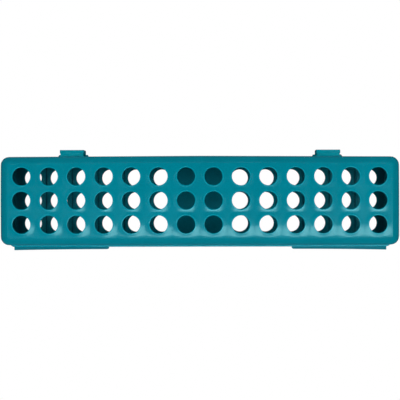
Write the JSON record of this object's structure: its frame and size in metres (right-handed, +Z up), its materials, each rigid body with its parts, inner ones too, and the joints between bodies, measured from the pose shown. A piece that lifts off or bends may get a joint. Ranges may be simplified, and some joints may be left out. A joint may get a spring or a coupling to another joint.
{
  "type": "test tube rack",
  "caption": "Long clamshell rack for test tubes: two perforated plastic half shells folded shut on film hinges and held by latch flaps.",
  "frame": {"origin": "on the surface the rack stands on, under the centre of its plan", "axes": "+X along the rack, +Y towards the side with the latches, +Z up; the film hinges are on the -Y side"},
  "size_m": [0.367, 0.0939, 0.07],
  "materials": {
    "upper_shell": "teal moulded polypropylene, satin, with soft sink marks round the holes",
    "lower_shell": "teal moulded polypropylene, satin",
    "latch": "teal moulded polypropylene, satin",
    "film": "thin teal polypropylene film, lighter where light comes through"
  },
  "bodies": {
    "lower": {"lower_shell": "lower_shell", "hinge_film_left": "film", "hinge_film_right": "film"},
    "upper": {"upper_shell": "upper_shell", "latch_film_left": "film", "latch_film_right": "film"},
    "latch_left": {"latch_flap_left": "latch"},
    "latch_right": {"latch_flap_right": "latch"}
  },
  "joints": [
    {"name": "lid_hinge", "type": "hinge", "parent": "lower", "child": "upper", "pos_m": [0, -0.04665, 0.035], "axis": [1, 0, 0], "range_deg": [0, 180], "deforming": ["hinge_film_left", "hinge_film_right"]},
    {"name": "latch_left_hinge", "type": "hinge", "parent": "upper", "child": "latch_left", "pos_m": [-0.1198, 0.043, 0.0439], "axis": [1, 0, 0], "range_deg": [0, 95], "deforming": ["latch_film_left"]},
    {"name": "latch_right_hinge", "type": "hinge", "parent": "upper", "child": "latch_right", "pos_m": [0.1198, 0.043, 0.0439], "axis": [1, 0, 0], "range_deg": [0, 95], "deforming": ["latch_film_right"]}
  ]
}
